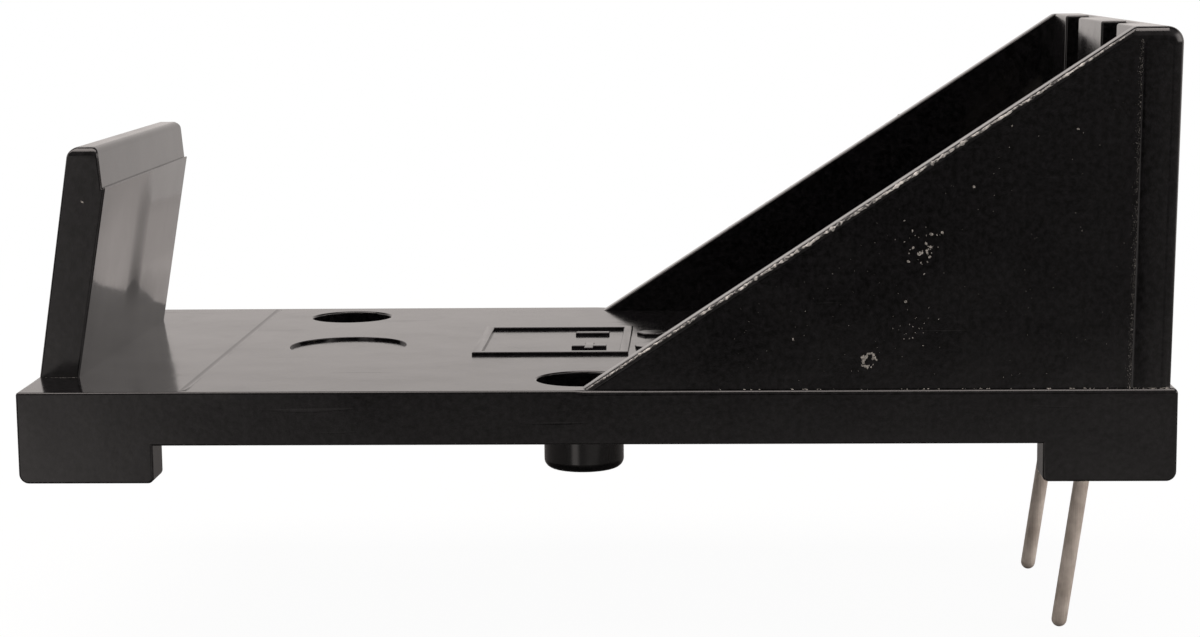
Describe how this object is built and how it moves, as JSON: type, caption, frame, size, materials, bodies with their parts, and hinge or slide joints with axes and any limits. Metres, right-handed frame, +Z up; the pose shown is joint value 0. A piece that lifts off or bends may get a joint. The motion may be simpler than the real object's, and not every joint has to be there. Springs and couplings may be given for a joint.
{
  "type": "nine-volt battery holder",
  "caption": "Black moulded holder that takes a nine-volt battery between a sprung latch and a walled contact end, with wire pins and a locating peg for a circuit board.",
  "frame": {"origin": "where the axis of the locating peg meets the board's top face, which is the plane under the four feet", "axes": "+X along the battery towards the contact end, +Y across the bay to the side away from the camera, +Z up from the board"},
  "size_m": [0.0572, 0.03, 0.0317],
  "materials": {
    "black_plastic": "injection moulded in a polished tool",
    "spring_strip": "rolled spring steel, nickel plated",
    "tinned_wire": "drawn wire, dull tinned"
  },
  "bodies": {
    "root": {"holder_body": "black_plastic", "positive_contact": "spring_strip", "positive_pin": "tinned_wire", "negative_contact": "spring_strip", "negative_pin": "tinned_wire"}
  },
  "joints": []
}
